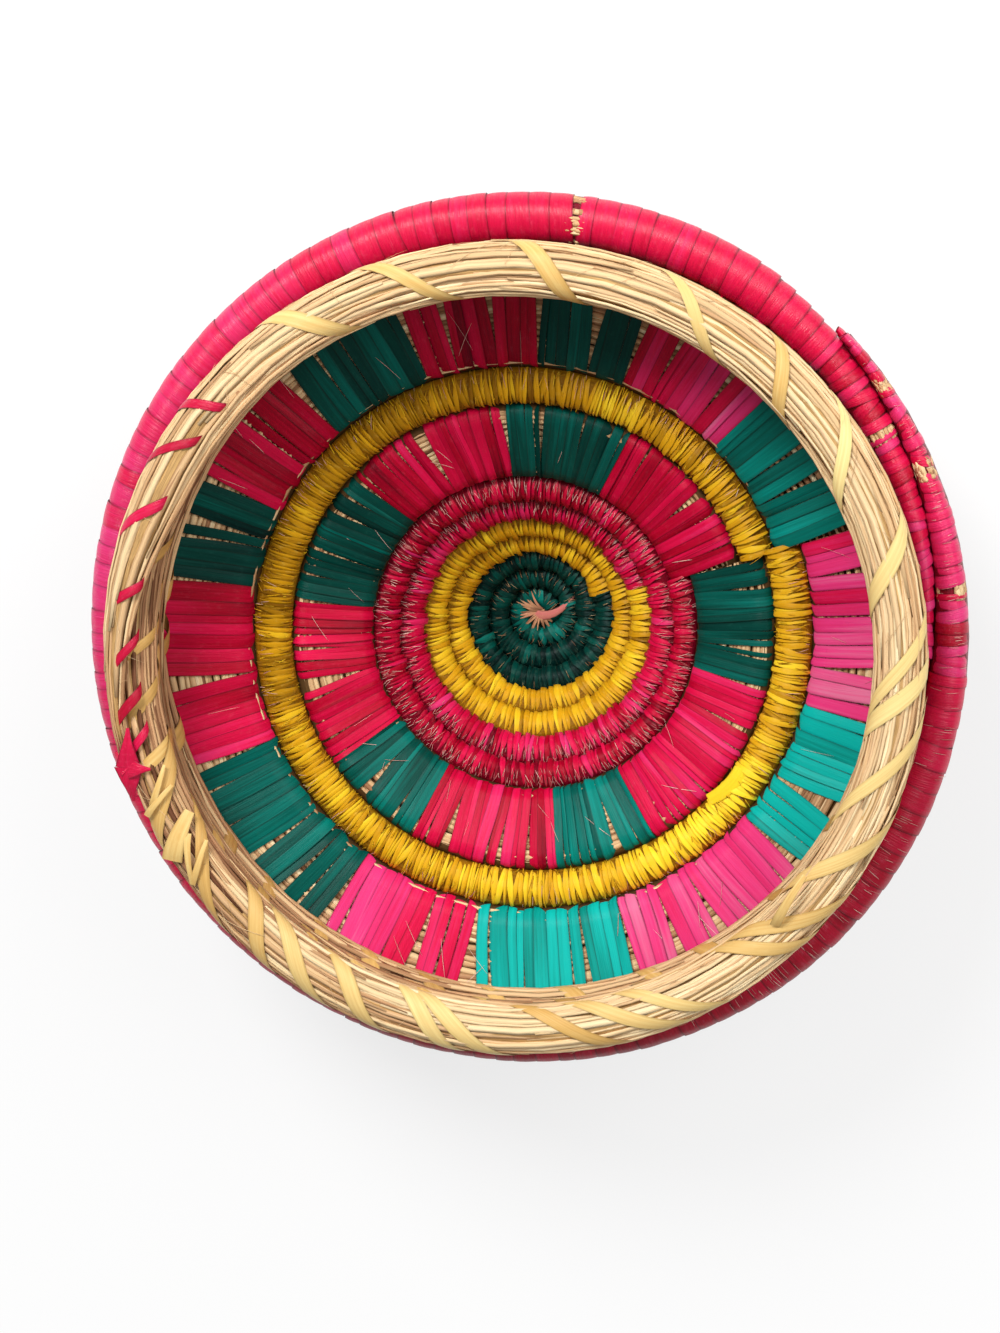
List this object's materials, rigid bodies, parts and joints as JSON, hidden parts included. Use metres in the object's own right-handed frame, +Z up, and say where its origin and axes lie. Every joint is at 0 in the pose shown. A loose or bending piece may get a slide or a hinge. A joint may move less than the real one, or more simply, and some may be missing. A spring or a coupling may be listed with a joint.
{
  "type": "lidded basket",
  "caption": "Round coiled straw basket in pink, green and yellow: a bowl-shaped base and a funnel-crowned lid with a straw collar, lying inside up on the base's rim.",
  "frame": {"origin": "centre of the base's standing face, on the floor", "axes": "+Z up along the axis of the coils, the way the lid lifts; +X to the right and +Y to the top of the picture"},
  "size_m": [0.2988, 0.2988, 0.1418],
  "materials": {
    "straw": "dry bare straw stems",
    "tuft": "frayed leaf and straw ends",
    "green_wrap": "satin dyed leaf strip",
    "yellow_wrap": "satin dyed leaf strip",
    "pink_wrap": "satin dyed leaf strip"
  },
  "bodies": {
    "base": {"base_green_coil": "green_wrap", "base_heel_coil": "yellow_wrap", "base_pink_coil": "pink_wrap", "base_rim_coil": "pink_wrap", "base_wall_band_core": "straw", "base_wall_band_wrap_01_pink": "pink_wrap", "base_wall_band_wrap_02_green": "green_wrap", "base_wall_band_wrap_03_pink": "pink_wrap", "base_wall_band_wrap_04_green": "green_wrap", "base_wall_band_wrap_05_pink": "pink_wrap", "base_wall_band_wrap_06_green": "green_wrap", "base_wall_band_wrap_07_pink": "pink_wrap", "base_wall_band_wrap_08_green": "green_wrap", "base_wall_band_wrap_09_pink": "pink_wrap", "base_wall_band_wrap_10_green": "green_wrap", "base_wall_band_wrap_11_pink": "pink_wrap", "base_wall_band_wrap_12_green": "green_wrap", "base_wall_band_wrap_13_pink": "pink_wrap", "base_wall_band_wrap_14_green": "green_wrap", "base_wall_green_coil": "green_wrap", "base_wall_yellow_coil": "yellow_wrap", "base_yellow_coil": "yellow_wrap"},
    "lid": {"lid_collar_coil": "straw", "lid_collar_knot": "pink_wrap", "lid_green_coil": "green_wrap", "lid_inner_band_core": "straw", "lid_inner_band_wrap_01_pink": "pink_wrap", "lid_inner_band_wrap_02_green": "green_wrap", "lid_inner_band_wrap_03_pink": "pink_wrap", "lid_inner_band_wrap_04_green": "green_wrap", "lid_inner_band_wrap_05_pink": "pink_wrap", "lid_inner_band_wrap_06_green": "green_wrap", "lid_inner_band_wrap_07_pink": "pink_wrap", "lid_inner_band_wrap_08_green": "green_wrap", "lid_inner_band_wrap_09_pink": "pink_wrap", "lid_inner_band_wrap_10_green": "green_wrap", "lid_outer_band_core": "straw", "lid_outer_band_wrap_01_green": "green_wrap", "lid_outer_band_wrap_02_pink": "pink_wrap", "lid_outer_band_wrap_03_green": "green_wrap", "lid_outer_band_wrap_04_pink": "pink_wrap", "lid_outer_band_wrap_05_green": "green_wrap", "lid_outer_band_wrap_06_pink": "pink_wrap", "lid_outer_band_wrap_07_green": "green_wrap", "lid_outer_band_wrap_08_pink": "pink_wrap", "lid_outer_band_wrap_09_green": "green_wrap", "lid_outer_band_wrap_10_pink": "pink_wrap", "lid_outer_band_wrap_11_green": "green_wrap", "lid_outer_band_wrap_12_pink": "pink_wrap", "lid_outer_band_wrap_13_green": "green_wrap", "lid_outer_band_wrap_14_pink": "pink_wrap", "lid_pink_coil": "pink_wrap", "lid_rim_coil": "pink_wrap", "lid_ring_coil": "yellow_wrap", "lid_start_tuft": "tuft", "lid_yellow_coil": "yellow_wrap"}
  },
  "joints": [
    {"name": "lid_lift", "type": "slide", "parent": "base", "child": "lid", "axis": [0, 0, 1], "range_m": [0, 0.11]}
  ]
}
